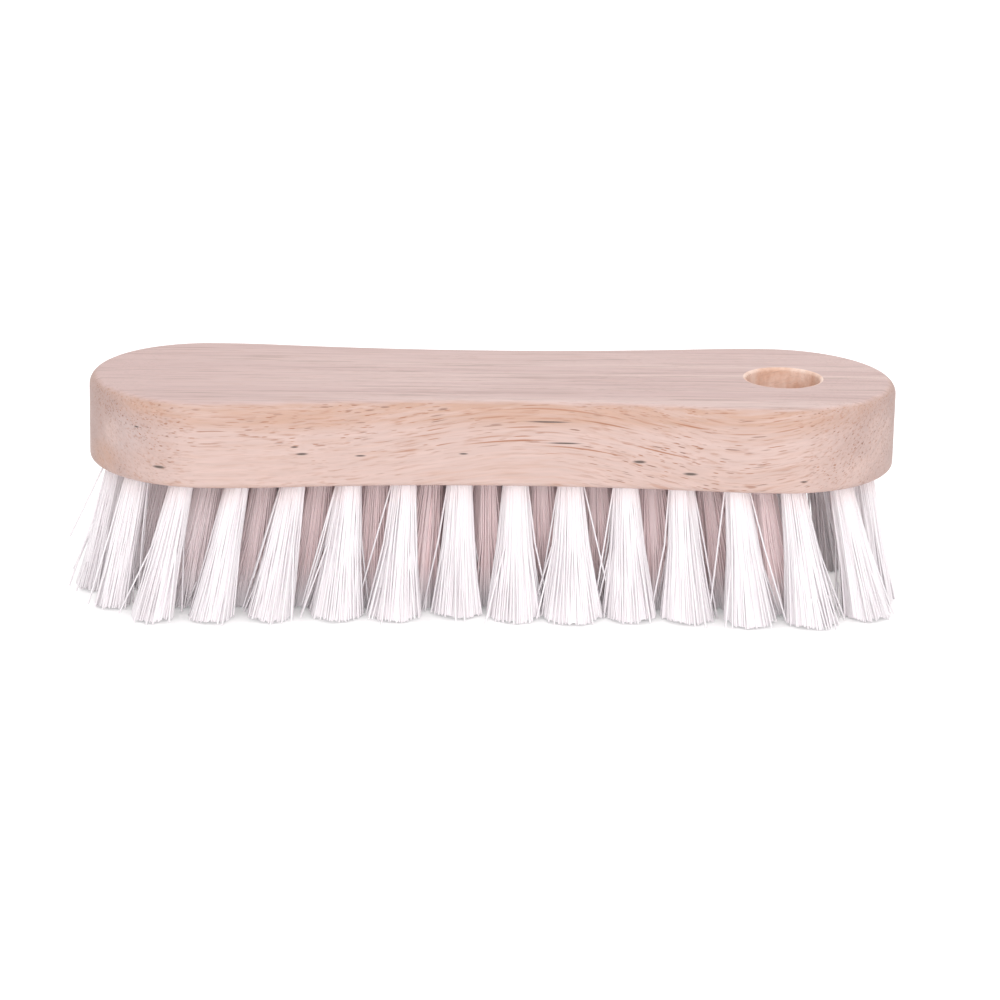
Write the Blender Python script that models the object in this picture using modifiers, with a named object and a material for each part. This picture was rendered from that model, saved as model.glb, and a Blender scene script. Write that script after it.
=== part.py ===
"""A cleaning brush: a solid hardwood block with a hanging hole, and tufts of white plastic
bristle set in blind holes drilled in its underside.

Metres, +Z up. The origin is on the ground under the middle of the block, and the brush
stands on its bristles. X runs along the block towards the hanging hole. Each tuft is a
bundle folded over a small steel anchor, whose two ends bite into the wall of its hole.
"""

import math
import random
from collections import namedtuple

import bmesh
import bpy
from mathutils import Matrix, Vector

# Block
BLOCK_LENGTH = 0.200
END_HALF_WIDTH = 0.030
WAIST_DEPTH = 0.0044
BLOCK_THICKNESS = 0.0213
TOP_ROUND = 0.0028
BOTTOM_ROUND = 0.0012
# Each side runs from a convex shoulder into a hollow waist; this is the shoulder's share of their radii
SHOULDER_RADIUS_SHARE = 0.25

# Hanging hole, right through the block
HANGING_HOLE_RADIUS = 0.0092
HANGING_HOLE_FROM_END = 0.028
HANGING_HOLE_ROUND = 0.0008

# Blind holes for the tufts
TUFT_HOLE_RADIUS = 0.0033
TUFT_HOLE_DEPTH = 0.0125
DRILL_POINT_HEIGHT = 0.0012

# Steel anchors, laid along the grain so that they do not split the block
ANCHOR_THICKNESS = 0.0005
ANCHOR_HEIGHT = 0.0018
ANCHOR_BITE = 0.0008
FOLD_THICKNESS = 0.0026

# Tuft layout: a ring round the edge, whose places count from the -X end, and rows inside it
RING_INSET = 0.008
RING_START = 0.0017
RING_TUFTS = 31
FIRST_ROW_PLACE = 2
LAST_ROW_PLACE = 12
CENTRE_ROW_INSET = 0.0115
FIRST_CENTRE_PLACE = 3
LAST_CENTRE_PLACE = 11
CENTRE_PLACE_STEP = 2
ROW_SPREAD_SHARE = 0.5
HANGING_HOLE_WALL = 0.0022

# Bristles
BRISTLE_LENGTH = 0.035
PLUG_PROUD = 0.0005
FOLD_WIDTH_SHARE = 0.72
LOCKS_PER_TUFT = 8
LOCK_GAP = 0.0006
MIDDLE_FLARE_RADIUS = 0.0055
END_FLARE_RADIUS = 0.0046
INNER_LOCK_REACH_SHARE = 0.6
TIP_SCATTER = 0.0003
END_LEAN = 0.0092
TRIM_DEPTH = 0.0005
RAW_LENGTH_SPREAD = 0.0007
TRIM_SEED = 5

# Fits and facets
FIT_GAP = 0.0003
CUTTER_OVERRUN = 0.002
FACET_SAG = 0.00005
ROUND_SEGMENTS = 4
MOUTH_SEGMENTS = 3
HANGING_HOLE_SIDES = 36
TUFT_HOLE_SIDES = 12
SMOOTH_ANGLE = math.radians(35)
FLAT_ANGLE = math.radians(1)
LEAST_FLATNESS_SHARE = 0.99

UNDERSIDE_Z = BRISTLE_LENGTH
BLOCK_MIDDLE_Z = UNDERSIDE_Z + BLOCK_THICKNESS / 2
HANGING_HOLE_X = BLOCK_LENGTH / 2 - HANGING_HOLE_FROM_END
PLUG_RADIUS = TUFT_HOLE_RADIUS - FIT_GAP

# One round stretch of an outline, as seen from above
Arc = namedtuple("Arc", "centre radius start sweep")
# Where a tuft stands, how far its tips lean from its root and how wide they flare
Tuft = namedtuple("Tuft", "name root lean flare")


def clear_scene():
    for obj in list(bpy.data.objects):
        bpy.data.objects.remove(obj, do_unlink=True)


def new_collection(name):
    collection = bpy.data.collections.new(name)
    bpy.context.scene.collection.children.link(collection)
    return collection


def new_object(name, mesh, collection, location=(0, 0, 0)):
    obj = bpy.data.objects.new(name, mesh)
    obj.location = location
    collection.objects.link(obj)
    return obj


def make_helper(obj):
    """Marks an object as one that shapes others and is no piece of the brush itself."""
    obj.hide_render = True
    obj.display_type = "WIRE"


def new_material(name, colour, roughness, metallic=0.0):
    material = bpy.data.materials.new(name)
    material.use_nodes = True
    shader = material.node_tree.nodes["Principled BSDF"]
    shader.inputs["Base Color"].default_value = (*colour, 1)
    shader.inputs["Roughness"].default_value = roughness
    shader.inputs["Metallic"].default_value = metallic
    return material


def mesh_of(bm, name):
    """Turns a bmesh into a mesh whose faces point outwards."""
    bmesh.ops.recalc_face_normals(bm, faces=bm.faces[:])
    mesh = bpy.data.meshes.new(name)
    bm.to_mesh(mesh)
    bm.free()
    return mesh


def shade_round(mesh):
    mesh.shade_smooth()
    mesh.set_sharp_from_angle(angle=SMOOTH_ANGLE)


def front_arcs(inset=0):
    """The arcs of the block's outline, from its -X end along the front to its +X end, moved in by inset."""
    end_x = BLOCK_LENGTH / 2 - END_HALF_WIDTH
    turn = 2 * math.atan2(WAIST_DEPTH, end_x)
    both_radii = end_x / math.sin(turn)
    shoulder = SHOULDER_RADIUS_SHARE * both_radii
    waist = both_radii - shoulder
    shoulder_y = shoulder - END_HALF_WIDTH
    quarter = math.pi / 2
    return (
        Arc(Vector((-end_x, 0)), END_HALF_WIDTH - inset, 2 * quarter, quarter),
        Arc(Vector((-end_x, shoulder_y)), shoulder - inset, 3 * quarter, turn),
        Arc(Vector((0, WAIST_DEPTH - END_HALF_WIDTH - waist)), waist + inset, quarter + turn, -2 * turn),
        Arc(Vector((end_x, shoulder_y)), shoulder - inset, 3 * quarter - turn, turn),
        Arc(Vector((end_x, 0)), END_HALF_WIDTH - inset, 3 * quarter, quarter),
    )


def point_on(arc, share):
    angle = arc.start + arc.sweep * share
    return arc.centre + arc.radius * Vector((math.cos(angle), math.sin(angle)))


def arc_length(arc):
    return arc.radius * abs(arc.sweep)


def mirrored(point):
    """The same place on the other side of the block's middle plane."""
    return Vector((point.x, -point.y))


def point_along(arcs, distance):
    """The point that lies this far along a chain of arcs."""
    for arc in arcs[:-1]:
        if distance <= arc_length(arc):
            return point_on(arc, distance / arc_length(arc))
        distance -= arc_length(arc)
    return point_on(arcs[-1], distance / arc_length(arcs[-1]))


def outline_points():
    """The block's closed outline, in facets that stray from the true arcs by FACET_SAG at most."""
    arcs = front_arcs()
    front = []
    for arc in arcs:
        widest_step = 2 * math.acos(1 - FACET_SAG / arc.radius)
        steps = math.ceil(abs(arc.sweep) / widest_step)
        front += [point_on(arc, step / steps) for step in range(steps)]
    return front + [point_on(arcs[-1], 1)] + [mirrored(point) for point in reversed(front[1:])]


def staggered(first, second):
    """A place half way along between two of the ring's, nearer the middle but clear of the hanging hole."""
    between = (first + second) / 2
    least = HANGING_HOLE_RADIUS + HANGING_HOLE_WALL + TUFT_HOLE_RADIUS
    clear = math.sqrt(max(0, least**2 - (between.x - HANGING_HOLE_X) ** 2))
    across = max(ROW_SPREAD_SHARE * abs(between.y), clear)
    return Vector((between.x, math.copysign(across, between.y)))


def tuft_layout():
    """A ring of tufts round the edge, a staggered row inside each side of it and a sparser centre row."""
    front = front_arcs(RING_INSET)
    half_round = sum(arc_length(arc) for arc in front)
    ring = []
    for i in range(RING_TUFTS):
        distance = RING_START + 2 * half_round * i / RING_TUFTS
        behind = distance > half_round
        point = point_along(front, 2 * half_round - distance if behind else distance)
        ring.append(mirrored(point) if behind else point)
    ring_end_x = BLOCK_LENGTH / 2 - RING_INSET
    row_places = range(FIRST_ROW_PLACE, LAST_ROW_PLACE + 1)
    centre_places = range(FIRST_CENTRE_PLACE, LAST_CENTRE_PLACE + 1, CENTRE_PLACE_STEP)
    centre_xs = [CENTRE_ROW_INSET - ring_end_x] + [(ring[i].x + ring[-i].x) / 2 for i in centre_places]
    rows = {
        "edge_tuft": ring,
        "front_row_tuft": [staggered(ring[i], ring[i + 1]) for i in row_places],
        "centre_row_tuft": [Vector((x, 0)) for x in centre_xs],
        "back_row_tuft": [staggered(ring[-i], ring[-i - 1]) for i in row_places],
    }
    tufts = []
    for row, roots in rows.items():
        for number, root in enumerate(roots, start=1):
            towards_end = abs(root.x) / ring_end_x
            flare = MIDDLE_FLARE_RADIUS + (END_FLARE_RADIUS - MIDDLE_FLARE_RADIUS) * towards_end
            tufts.append(Tuft(f"{row}_{number:02d}", root, root * END_LEAN / ring_end_x, flare))
    return tufts


def extruded_outline(name, points, thickness):
    """A flat outline, thickened to both sides, as a closed mesh with one face on its top and one below."""
    curve = bpy.data.curves.new(name, "CURVE")
    curve.dimensions = "2D"
    curve.fill_mode = "BOTH"
    curve.extrude = thickness / 2
    spline = curve.splines.new("POLY")
    spline.points.add(len(points) - 1)
    for spline_point, point in zip(spline.points, points):
        spline_point.co = (point.x, point.y, 0, 1)
    spline.use_cyclic_u = True
    source = new_object(name, curve, bpy.context.scene.collection)
    graph = bpy.context.evaluated_depsgraph_get()
    mesh = bpy.data.meshes.new_from_object(source.evaluated_get(graph))
    bpy.data.objects.remove(source, do_unlink=True)
    bm = bmesh.new()
    bm.from_mesh(mesh)
    bmesh.ops.remove_doubles(bm, verts=bm.verts[:], dist=FACET_SAG)
    bmesh.ops.dissolve_limit(bm, angle_limit=FLAT_ANGLE, verts=bm.verts[:], edges=bm.edges[:])
    bpy.data.meshes.remove(mesh)
    return mesh_of(bm, name)


def weigh_rims(mesh):
    """Gives the bottom rim its smaller round, as a share of the top rim's."""
    weights = mesh.attributes.new("bevel_weight_edge", "FLOAT", "EDGE")
    for edge in mesh.edges:
        ends = [mesh.vertices[index].co.z for index in edge.vertices]
        if min(ends) > 0:
            weights.data[edge.index].value = 1
        elif max(ends) < 0:
            weights.data[edge.index].value = BOTTOM_ROUND / TOP_ROUND


def hanging_hole_cutter(collection):
    """A turned cutter that widens at both mouths, which rounds the edges of the hole that it leaves."""
    half_height = BLOCK_THICKNESS / 2
    mouth = []
    for step in range(MOUTH_SEGMENTS + 1):
        angle = math.pi / 2 * (1 + step / MOUTH_SEGMENTS)
        radius = HANGING_HOLE_RADIUS + HANGING_HOLE_ROUND * (1 + math.cos(angle))
        mouth.append(Vector((radius, 0, half_height - HANGING_HOLE_ROUND * (1 - math.sin(angle)))))
    beyond = 2 * mouth[0] - mouth[1]
    above = half_height + CUTTER_OVERRUN
    upper = [Vector((0, 0, above)), Vector((beyond.x, 0, above)), beyond, *mouth]
    lower = [Vector((point.x, 0, -point.z)) for point in reversed(upper)]
    profile = upper + lower
    mesh = bpy.data.meshes.new("hanging_hole_cutter")
    mesh.from_pydata(profile, [(i, i + 1) for i in range(len(profile) - 1)], [])
    cutter = new_object("hanging_hole_cutter", mesh, collection, (HANGING_HOLE_X, 0, BLOCK_MIDDLE_Z))
    turn = cutter.modifiers.new("turn", "SCREW")
    turn.steps = turn.render_steps = HANGING_HOLE_SIDES
    turn.use_merge_vertices = True
    turn.merge_threshold = FACET_SAG
    make_helper(cutter)
    return cutter


def drill_mesh():
    """The space that one drill leaves: round, with a conical bottom, and open past the underside."""
    corner_radius = TUFT_HOLE_RADIUS / math.cos(math.pi / TUFT_HOLE_SIDES)
    depth = TUFT_HOLE_DEPTH + CUTTER_OVERRUN
    middle = TUFT_HOLE_DEPTH - depth / 2
    bm = bmesh.new()
    bmesh.ops.create_cone(
        bm,
        cap_ends=True,
        segments=TUFT_HOLE_SIDES,
        radius1=corner_radius,
        radius2=corner_radius,
        depth=depth,
        matrix=Matrix.Translation((0, 0, middle)),
    )
    bottom = [face for face in bm.faces if face.normal.z > LEAST_FLATNESS_SHARE]
    tip = bmesh.ops.poke(bm, faces=bottom)["verts"]
    bmesh.ops.translate(bm, verts=tip, vec=(0, 0, DRILL_POINT_HEIGHT))
    return mesh_of(bm, "tuft_drill")


def anchor_top():
    """How far an anchor's upper edge lies above the block's underside."""
    return TUFT_HOLE_DEPTH - FIT_GAP - FOLD_THICKNESS


def anchor_mesh():
    """A short steel strip on edge, a little longer than its hole is wide."""
    size = (2 * (TUFT_HOLE_RADIUS + ANCHOR_BITE), ANCHOR_THICKNESS, ANCHOR_HEIGHT)
    middle = anchor_top() - ANCHOR_HEIGHT / 2
    bm = bmesh.new()
    place = Matrix.Translation((0, 0, middle))
    bmesh.ops.create_cube(bm, size=1, matrix=place @ Matrix.Diagonal((*size, 1)))
    return mesh_of(bm, "anchor")


def wooden_block(tufts, wood, steel, parts, cutters):
    """The block with its rims rounded and its holes drilled, joined to the anchors that bite into it."""
    mesh = extruded_outline("wooden_block", outline_points(), BLOCK_THICKNESS)
    weigh_rims(mesh)
    shade_round(mesh)
    mesh.materials.append(wood)
    block = new_object("wooden_block", mesh, parts, (0, 0, BLOCK_MIDDLE_Z))
    rounding = block.modifiers.new("rounded rims", "BEVEL")
    rounding.limit_method = "WEIGHT"
    rounding.width = TOP_ROUND
    rounding.segments = ROUND_SEGMENTS

    hanging_hole = block.modifiers.new("hanging hole", "BOOLEAN")
    hanging_hole.operation = "DIFFERENCE"
    hanging_hole.object = hanging_hole_cutter(cutters)

    drills = bpy.data.collections.new("tuft_drills")
    anchors = bpy.data.collections.new("anchors")
    for group in (drills, anchors):
        cutters.children.link(group)
    drill, anchor = drill_mesh(), anchor_mesh()
    drill.materials.append(wood)
    anchor.materials.append(steel)
    for tuft in tufts:
        place = (*tuft.root, UNDERSIDE_Z)
        make_helper(new_object(f"drill_for_{tuft.name}", drill, drills, place))
        make_helper(new_object(f"anchor_of_{tuft.name}", anchor, anchors, place))
    for name, operation, group in (("tuft holes", "DIFFERENCE", drills), ("anchors", "UNION", anchors)):
        step = block.modifiers.new(name, "BOOLEAN")
        step.operation = operation
        step.operand_type = "COLLECTION"
        step.collection = group
        step.material_mode = "TRANSFER"
    return block


def folded_plug(bm):
    """The root of a tuft: it fills its hole, narrows to the fold and has a slot for the anchor."""
    top = TUFT_HOLE_DEPTH - FIT_GAP
    height = top + PLUG_PROUD
    flats_to_the_front = Matrix.Rotation(math.pi / LOCKS_PER_TUFT, 4, "Z")
    bmesh.ops.create_cone(
        bm,
        cap_ends=True,
        segments=LOCKS_PER_TUFT,
        radius1=PLUG_RADIUS,
        radius2=PLUG_RADIUS,
        depth=height,
        matrix=Matrix.Translation((0, 0, top - height / 2)) @ flats_to_the_front,
    )
    fold = [vert for vert in bm.verts if vert.co.z > 0]
    bmesh.ops.scale(bm, vec=(1, FOLD_WIDTH_SHARE, 1), verts=fold)
    bm.normal_update()

    slot_ends = [face for face in bm.faces if abs(face.normal.x) > LEAST_FLATNESS_SHARE]
    bmesh.ops.inset_individual(bm, faces=slot_ends, thickness=FIT_GAP)
    slot_half_width = ANCHOR_THICKNESS / 2 + FIT_GAP
    slot_top = anchor_top() + FIT_GAP
    slot_bottom = anchor_top() - ANCHOR_HEIGHT - FIT_GAP
    rims = []
    for face in slot_ends:
        middle_z = face.calc_center_median().z
        for vert in face.verts:
            vert.co.y = math.copysign(slot_half_width, vert.co.y)
            vert.co.z = slot_top if vert.co.z > middle_z else slot_bottom
        rims += face.edges[:]
    bmesh.ops.delete(bm, geom=slot_ends, context="FACES_ONLY")
    bmesh.ops.bridge_loops(bm, edges=rims)


def grow_locks(bm, lean, flare, rng):
    """Splits the plug's lower end into three-sided locks of bristle and draws each out past the trim."""
    bm.normal_update()
    downward = [face for face in bm.faces if face.normal.z < -LEAST_FLATNESS_SHARE]
    mouth = [face for face in downward if face.calc_center_median().z < 0]
    locks = bmesh.ops.poke(bm, faces=mouth)["faces"]
    bmesh.ops.inset_individual(bm, faces=locks, thickness=LOCK_GAP / 2, use_even_offset=True)
    tips = bmesh.ops.extrude_discrete_faces(bm, faces=locks)["faces"]
    for tip in tips:
        root = tip.calc_center_median()
        angle = math.atan2(root.y, root.x)
        turn = round(angle / (2 * math.pi / LOCKS_PER_TUFT) - 0.5)
        reach = flare if turn % 2 else flare * INNER_LOCK_REACH_SHARE
        raw_length = BRISTLE_LENGTH + TRIM_DEPTH + rng.uniform(0, RAW_LENGTH_SPREAD)
        end = Vector((
            reach * math.cos(angle) + lean.x + rng.uniform(-TIP_SCATTER, TIP_SCATTER),
            reach * math.sin(angle) + lean.y + rng.uniform(-TIP_SCATTER, TIP_SCATTER),
            -raw_length,
        ))
        bmesh.ops.translate(bm, verts=tip.verts[:], vec=end - root)


def trim_tips(bm):
    """Cuts every lock off flat, at the level of the ground."""
    bmesh.ops.bisect_plane(
        bm,
        geom=bm.verts[:] + bm.edges[:] + bm.faces[:],
        plane_co=(0, 0, -BRISTLE_LENGTH),
        plane_no=(0, 0, -1),
        clear_outer=True,
    )
    bmesh.ops.holes_fill(bm, edges=[edge for edge in bm.edges if edge.is_boundary])


def bristle_tuft(tuft, plastic, parts, rng):
    bm = bmesh.new()
    folded_plug(bm)
    grow_locks(bm, tuft.lean, tuft.flare, rng)
    trim_tips(bm)
    mesh = mesh_of(bm, tuft.name)
    mesh.materials.append(plastic)
    return new_object(tuft.name, mesh, parts, (*tuft.root, UNDERSIDE_Z))


def main():
    clear_scene()
    parts = new_collection("cleaning_brush")
    cutters = new_collection("cutters")
    wood = new_material("pale hardwood", (0.72, 0.50, 0.34), 0.55)
    steel = new_material("bright steel", (0.62, 0.62, 0.63), 0.3, 1.0)
    plastic = new_material("white bristle plastic", (0.88, 0.86, 0.86), 0.35)

    stand = new_object("stand_point", None, parts)
    tufts = tuft_layout()
    block = wooden_block(tufts, wood, steel, parts, cutters)
    block.parent = stand
    rng = random.Random(TRIM_SEED)
    for tuft in tufts:
        bristles = bristle_tuft(tuft, plastic, parts, rng)
        bristles.parent = stand


main()
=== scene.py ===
"""A cleaning brush: a sanded block of bare pale hardwood with a hanging hole, and tufts of stiff
white plastic bristle that fan out below it, on a plain white floor.

Metres, +Z up, in the frame of the packed part: the brush stands on its bristles, with X along the
block towards the hanging hole and -Y towards the camera.
"""

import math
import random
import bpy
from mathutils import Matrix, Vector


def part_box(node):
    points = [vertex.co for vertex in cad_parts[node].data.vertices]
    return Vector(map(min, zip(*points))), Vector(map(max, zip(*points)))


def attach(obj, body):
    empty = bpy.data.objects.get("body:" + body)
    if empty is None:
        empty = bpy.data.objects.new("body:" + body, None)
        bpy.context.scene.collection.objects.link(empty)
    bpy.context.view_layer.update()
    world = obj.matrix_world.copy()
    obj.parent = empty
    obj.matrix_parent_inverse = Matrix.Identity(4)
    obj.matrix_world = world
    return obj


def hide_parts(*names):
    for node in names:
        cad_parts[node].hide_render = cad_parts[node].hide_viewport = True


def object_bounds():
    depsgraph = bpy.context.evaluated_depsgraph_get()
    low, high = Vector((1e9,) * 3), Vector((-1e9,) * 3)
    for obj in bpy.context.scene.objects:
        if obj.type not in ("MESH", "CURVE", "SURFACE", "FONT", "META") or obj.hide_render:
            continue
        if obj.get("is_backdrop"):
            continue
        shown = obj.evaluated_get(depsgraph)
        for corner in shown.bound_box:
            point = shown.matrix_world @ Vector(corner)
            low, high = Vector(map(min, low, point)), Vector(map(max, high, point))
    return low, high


bl_info = {
    "name": "Cleaning Brush",
    "version": (1, 0, 0),
    "blender": (4, 5, 0),
    "location": "3D View > Sidebar > Cleaning Brush",
    "description": "Builds a wooden brush with white bristles, its floor, lights and camera",
    "category": "Add Mesh",
}

import bmesh
import bpy
from bpy.props import FloatProperty, FloatVectorProperty, IntProperty, PointerProperty
from mathutils import Matrix, Quaternion, Vector

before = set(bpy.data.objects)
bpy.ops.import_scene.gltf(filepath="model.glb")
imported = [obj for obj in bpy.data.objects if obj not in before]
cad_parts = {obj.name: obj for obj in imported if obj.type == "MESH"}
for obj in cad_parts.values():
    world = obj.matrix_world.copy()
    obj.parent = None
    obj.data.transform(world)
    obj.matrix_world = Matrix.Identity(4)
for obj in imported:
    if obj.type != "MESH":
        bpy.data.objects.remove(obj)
CAD_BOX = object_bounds()

BLOCK_LOW, BLOCK_HIGH = (Vector(corner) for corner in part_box("wooden_block"))
BLOCK_SIZE = BLOCK_HIGH - BLOCK_LOW
UNDERSIDE_Z = BLOCK_LOW.z
TUFT_ROWS = {
    row: sorted(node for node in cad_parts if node.startswith(row))
    for row in ("edge_tuft", "front_row_tuft", "centre_row_tuft", "back_row_tuft")
}
BAKE_MAP = "OFBake"
SEED = 11

# Points nearer than this are one point, and points whose heights differ less are level
SAME_POINT = 1e-6
SAME_LEVEL = 1e-5
# How far a cutter reaches past the face it cuts, and how far strands start inside the wood
CUT_BEYOND = 0.002
SUNK = 0.002
# How far inside the block's outline the outer ring of tufts stands
RING_INSET = 0.008

# Where the strands stand in the bundle, from and to a share of its radius: those all round the
# outside, and those inside that show only at the tips
SHELL_REACH = 0.965, 1.015
INSIDE_REACH = 0, 0.92
# How far a strand's place strays round the bundle, in radians
TURN_JITTER = 0.25

# How the front tufts differ from an even row, from the plain end to the holed one: how far the
# tips of each stray along X, and its width at the tips over its width at the wood
FRONT_TUFTS = (
    (0.0012, 1.12), (0.0014, 1.45), (-0.0005, 1.73), (-0.0009, 1.78),
    (-0.0016, 1.90), (0.0005, 2.29), (0.0000, 2.23), (0.0005, 2.17),
    (0.0002, 2.45), (-0.0008, 2.73), (-0.0010, 2.23), (-0.0015, 2.34),
    (-0.0012, 2.23), (-0.0007, 2.23), (0.0003, 2.06), (-0.0026, 1.12),
)
# Single strands that stand far out: the tuft each belongs to and where its tip is
STRAYS = (
    ("edge_tuft_01", (-0.1052, -0.0030, 0.0140)),
    ("edge_tuft_05", (-0.0590, -0.0225, 0.0100)),
    ("edge_tuft_05", (-0.0615, -0.0215, 0.0020)),
    ("edge_tuft_06", (-0.0470, -0.0215, 0.0030)),
    ("edge_tuft_07", (-0.0325, -0.0205, 0.0060)),
    ("edge_tuft_10", (0.0115, -0.0190, 0.0030)),
    ("edge_tuft_10", (0.0290, -0.0205, 0.0050)),
    ("edge_tuft_11", (0.0250, -0.0205, 0.0015)),
    ("edge_tuft_13", (0.0535, -0.0230, 0.0010)),
    ("edge_tuft_16", (0.1000, -0.0080, 0.0010)),
)

# The grain's slow wave along the block: its length, its height, where it starts, and how much
# shorter it gets with the distance from the middle
GRAIN_WAVE = 0.122, 0.0032, -0.020, 4.0
# Where the grain starts to rise towards both ends, and how fast
GRAIN_RISE = 0.080, 33.0
# The grain's fine wander: changes a metre along X, Y and Z, and how far it goes
GRAIN_DRIFT = (
    ((14, 30, 30), (0, 0.003, 0.003)),
    ((120, 200, 200), (0, 0.0006, 0.0006)),
)
# The wood's noise patterns: changes a metre along X, Y and Z, detail and roughness
FUZZ = (90, 700, 700), 2, 0.5
LAYERS = (7, 120, 330), 3, 0.6
BLOTCHES = (25, 60, 110), 3, 0.6
STREAKS = (60, 260, 900), 3, 0.65
FIBRE = (50, 1600, 1600), 2, 0.6
HATCHING = (110, 1900, 1900), 2, 0.5
TOP_BANDS = (5, 210, 5), 3, 0.65
TOP_LINES = (38, 1200, 10), 3, 0.65
BORE_BLOTCHES = (220, 220, 130), 3, 0.6
# The kinds of cut vessel: spacing along X, Y and Z, thickness over the spacing, and the share of
# places that have one
VESSELS = (
    ((0.0065, 0.0006, 0.0006), 0.29, 0.60),
    ((0.0130, 0.0007, 0.0007), 0.27, 0.85),
    ((0.0300, 0.0009, 0.0009), 0.22, 0.90),
)
END_VESSELS = (0.0030, 0.0008, 0.0008), 0.32, 0.50

# The few dark flecks of the front: the middle of each, and its half lengths along X, Y and Z
FLECKS = (
    ((-0.0872, -0.0245, 0.0490), (0.0008, 0.0030, 0.0003)),
    ((-0.0817, -0.0276, 0.0398), (0.0022, 0.0030, 0.0005)),
    ((-0.0490, -0.0285, 0.0454), (0.0013, 0.0020, 0.0003)),
    ((-0.0472, -0.0283, 0.0436), (0.0020, 0.0020, 0.0004)),
    ((-0.0330, -0.0269, 0.0429), (0.0018, 0.0020, 0.0003)),
    ((-0.0080, -0.0257, 0.0433), (0.0015, 0.0020, 0.0003)),
    ((0.0125, -0.0258, 0.0516), (0.0070, 0.0020, 0.0003)),
    ((0.0165, -0.0259, 0.0463), (0.0055, 0.0020, 0.0003)),
    ((0.0348, -0.0270, 0.0421), (0.0022, 0.0020, 0.0005)),
    ((0.0472, -0.0283, 0.0395), (0.0024, 0.0020, 0.0005)),
    ((0.0748, -0.0296, 0.0382), (0.0013, 0.0020, 0.0003)),
)
FLECK_OPACITY = 0.95

# Long thin vessels at the front's waist: the middle of each, its half length and its opacity
WAIST_LINES = (
    ((-0.0010, -0.0258, 0.0526), 0.0060, 0.6),
    ((0.0065, -0.0257, 0.0502), 0.0065, 0.7),
    ((0.0125, -0.0258, 0.0490), 0.0060, 0.5),
    ((0.0030, -0.0257, 0.0467), 0.0150, 0.9),
    ((0.0205, -0.0260, 0.0450), 0.0140, 0.8),
    ((-0.0020, -0.0257, 0.0476), 0.0060, 0.5),
    ((0.0270, -0.0262, 0.0513), 0.0085, 0.9),
    ((0.0150, -0.0259, 0.0547), 0.0200, 0.7),
    ((0.0390, -0.0270, 0.0450), 0.0075, 0.9),
    ((0.0440, -0.0275, 0.0440), 0.0060, 0.6),
    ((0.0470, -0.0277, 0.0515), 0.0065, 0.9),
    ((0.0600, -0.0288, 0.0500), 0.0060, 0.6),
    ((0.0700, -0.0295, 0.0512), 0.0045, 0.6),
    ((-0.0170, -0.0260, 0.0480), 0.0060, 0.5),
    ((-0.0220, -0.0262, 0.0440), 0.0050, 0.5),
)
WAIST_LINE_HALF_DEPTH = 0.003
WAIST_LINE_HALF_THICKNESS = 0.00027

# Where the front has almost no vessels: the middle and the half lengths of each place
CLEAN_WOOD = (
    ((0.0020, -0.0255, 0.0395), (0.0330, 0.0100, 0.0070)),
    ((-0.0610, -0.0270, 0.0410), (0.0230, 0.0100, 0.0085)),
)

# Patches of the front's wood: which colour of the wood's look, the middle, and the half lengths
PATCHES = (
    ("warm", (-0.0500, -0.0270, 0.0525), (0.0240, 0.0080, 0.0046)),
    ("warm", (-0.0840, -0.0265, 0.0545), (0.0090, 0.0080, 0.0026)),
    ("warm", (-0.0955, -0.0140, 0.0392), (0.0060, 0.0130, 0.0055)),
    ("warm", (0.0280, -0.0260, 0.0528), (0.0420, 0.0080, 0.0024)),
    ("warm", (0.0180, -0.0260, 0.0544), (0.0300, 0.0080, 0.0013)),
    ("mauve", (-0.0905, -0.0215, 0.0465), (0.0095, 0.0120, 0.0070)),
    # Painted shade on the plain end's round, with its end grain
    ("end_grain_and_shade", (-0.0990, -0.0060, 0.0470), (0.0060, 0.0160, 0.0120)),
    ("pale", (-0.0935, -0.0185, 0.0455), (0.0030, 0.0070, 0.0050)),
    # Painted highlight: a pale patch where the holed end's round catches the light
    ("pale", (0.0880, -0.0235, 0.0395), (0.0080, 0.0110, 0.0050)),
    ("pale", (0.0950, -0.0170, 0.0460), (0.0080, 0.0120, 0.0110)),
)


# Sizes and colours

def length(name, description, default):
    return FloatProperty(name=name, description=description, default=default, min=0,
                         unit="LENGTH", precision=5)


def share(name, description, default):
    return FloatProperty(name=name, description=description, default=default, min=0,
                         subtype="FACTOR")


def angle(name, description, degrees):
    return FloatProperty(name=name, description=description, default=math.radians(degrees),
                         subtype="ANGLE")


def strength(name, description, default):
    return FloatProperty(name=name, description=description, default=default, min=0)


def colour(name, description, default):
    return FloatVectorProperty(name=name, description=description, default=default, min=0, max=1,
                               subtype="COLOR")


class BrushBlockSizes(bpy.types.PropertyGroup):
    """The wooden block and its holes"""

    length: length("Length", "Overall length of the block", BLOCK_SIZE.x)
    end_half_width: length("End half width", "Radius of the round ends", BLOCK_SIZE.y / 2)
    thickness: length("Thickness", "From the underside to the flat top", BLOCK_SIZE.z)
    waist_depth: length("Waist depth", "How far each side is drawn in at the middle", 0.0044)
    shoulder_share: share("Shoulder share", "The shoulder's share of the side's two radii", 0.25)
    top_round: length("Top round", "Radius of the top rim", 0.0028)
    bottom_round: length("Bottom round", "Radius of the bottom rim", 0.0012)
    hole_radius: length("Hole radius", "Radius of the hanging hole", 0.0092)
    hole_from_end: length("Hole from end", "From the hole's axis to the nearer end", 0.028)
    hole_round: length("Hole round", "Radius of the hanging hole's edges", 0.0008)
    drill_radius: length("Tuft hole radius", "Radius of the blind holes for the tufts", 0.0033)
    drill_depth: length("Tuft hole depth", "Depth of the blind holes to their point", 0.0125)
    drill_point: length("Drill point", "Height of the blind holes' pointed bottom", 0.0012)


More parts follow.
